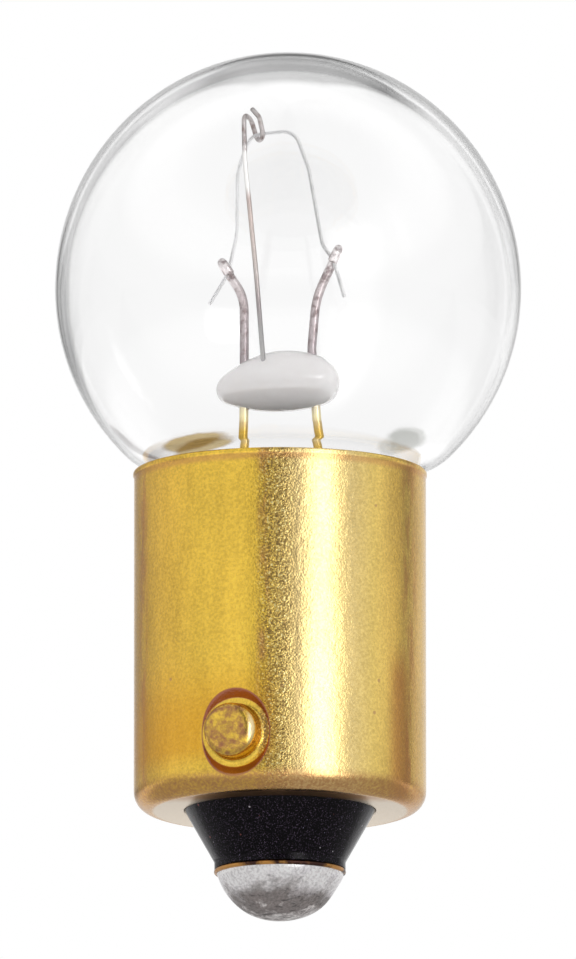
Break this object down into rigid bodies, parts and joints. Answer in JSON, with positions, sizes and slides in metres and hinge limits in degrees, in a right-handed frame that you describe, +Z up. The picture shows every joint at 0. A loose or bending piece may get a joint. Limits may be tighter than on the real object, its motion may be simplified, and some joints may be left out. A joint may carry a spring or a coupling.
{
  "type": "miniature globe bulb",
  "caption": "Clear round glass bulb with a bead-mounted coiled filament on a brass bayonet cap, ending in a black glass insulator and a solder contact.",
  "frame": {"origin": "on the cap's axis, level with the axis of the two bayonet pins", "axes": "+Z up the cap's axis to the globe, -Y along the pin at the front"},
  "size_m": [0.0144, 0.0144, 0.0271],
  "materials": {
    "clear_glass": "clear blown glass",
    "tube_glass": "clear drawn glass tube",
    "opal_glass": "opal glass, glossy",
    "lead_wire": "drawn wire, copper toned below the bead and grey above it",
    "support_wire": "drawn wire, grey with a tan cast",
    "filament_wire": "fine coiled tungsten wire",
    "cap_brass": "satin drawn brass with a fine grain",
    "cement": "matt filled cement",
    "solder": "dull mottled solder",
    "black_glass": "glossy black glass with small flecks",
    "eyelet_brass": "stamped brass"
  },
  "bodies": {
    "root": {"globe": "clear_glass", "exhaust_tube": "tube_glass", "bead": "opal_glass", "side_lead": "lead_wire", "centre_lead": "lead_wire", "filament_support": "support_wire", "filament": "filament_wire", "shell": "cap_brass", "basing_cement": "cement", "side_solder": "solder", "insulator": "black_glass", "contact_eyelet": "eyelet_brass", "contact_solder": "solder"}
  },
  "joints": []
}
